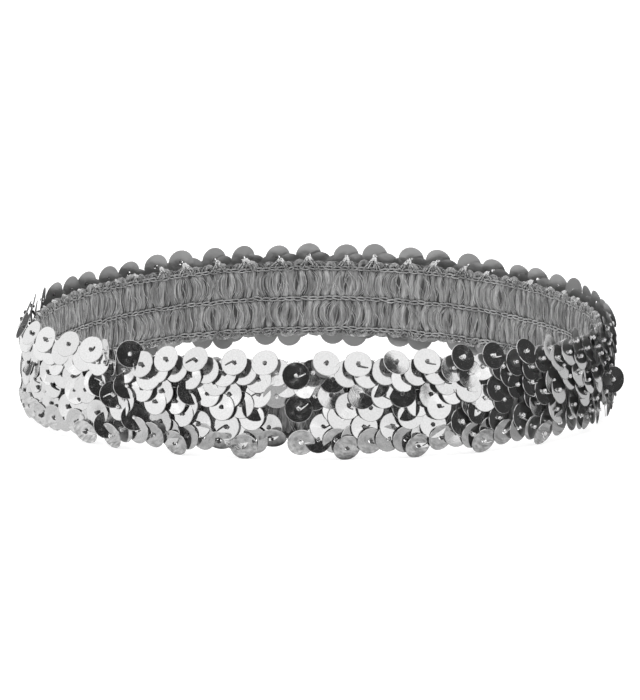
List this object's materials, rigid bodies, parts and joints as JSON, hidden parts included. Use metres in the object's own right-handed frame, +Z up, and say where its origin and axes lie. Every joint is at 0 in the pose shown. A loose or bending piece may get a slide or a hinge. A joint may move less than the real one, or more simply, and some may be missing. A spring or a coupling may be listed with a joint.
{
  "type": "sequin headband",
  "caption": "Closed stretch loop of gathered elastic ribbon with zigzag rows of small round silver sequins sewn along the outside, standing on its lower edge.",
  "frame": {"origin": "middle of the loop's outline, on the surface that its lower edge stands on", "axes": "+Z up, +X to the right as worn from the front, -Y towards the flatter front of the loop"},
  "size_m": [0.1326, 0.1276, 0.0241],
  "materials": {
    "ribbon": "soft grey gathered yarn",
    "sequins": "silver metallised film"
  },
  "bodies": {
    "root": {"elastic_ribbon": "ribbon", "sequin_strand_top": "sequins", "sequin_strand_mid": "sequins", "sequin_strand_bottom": "sequins"}
  },
  "joints": []
}
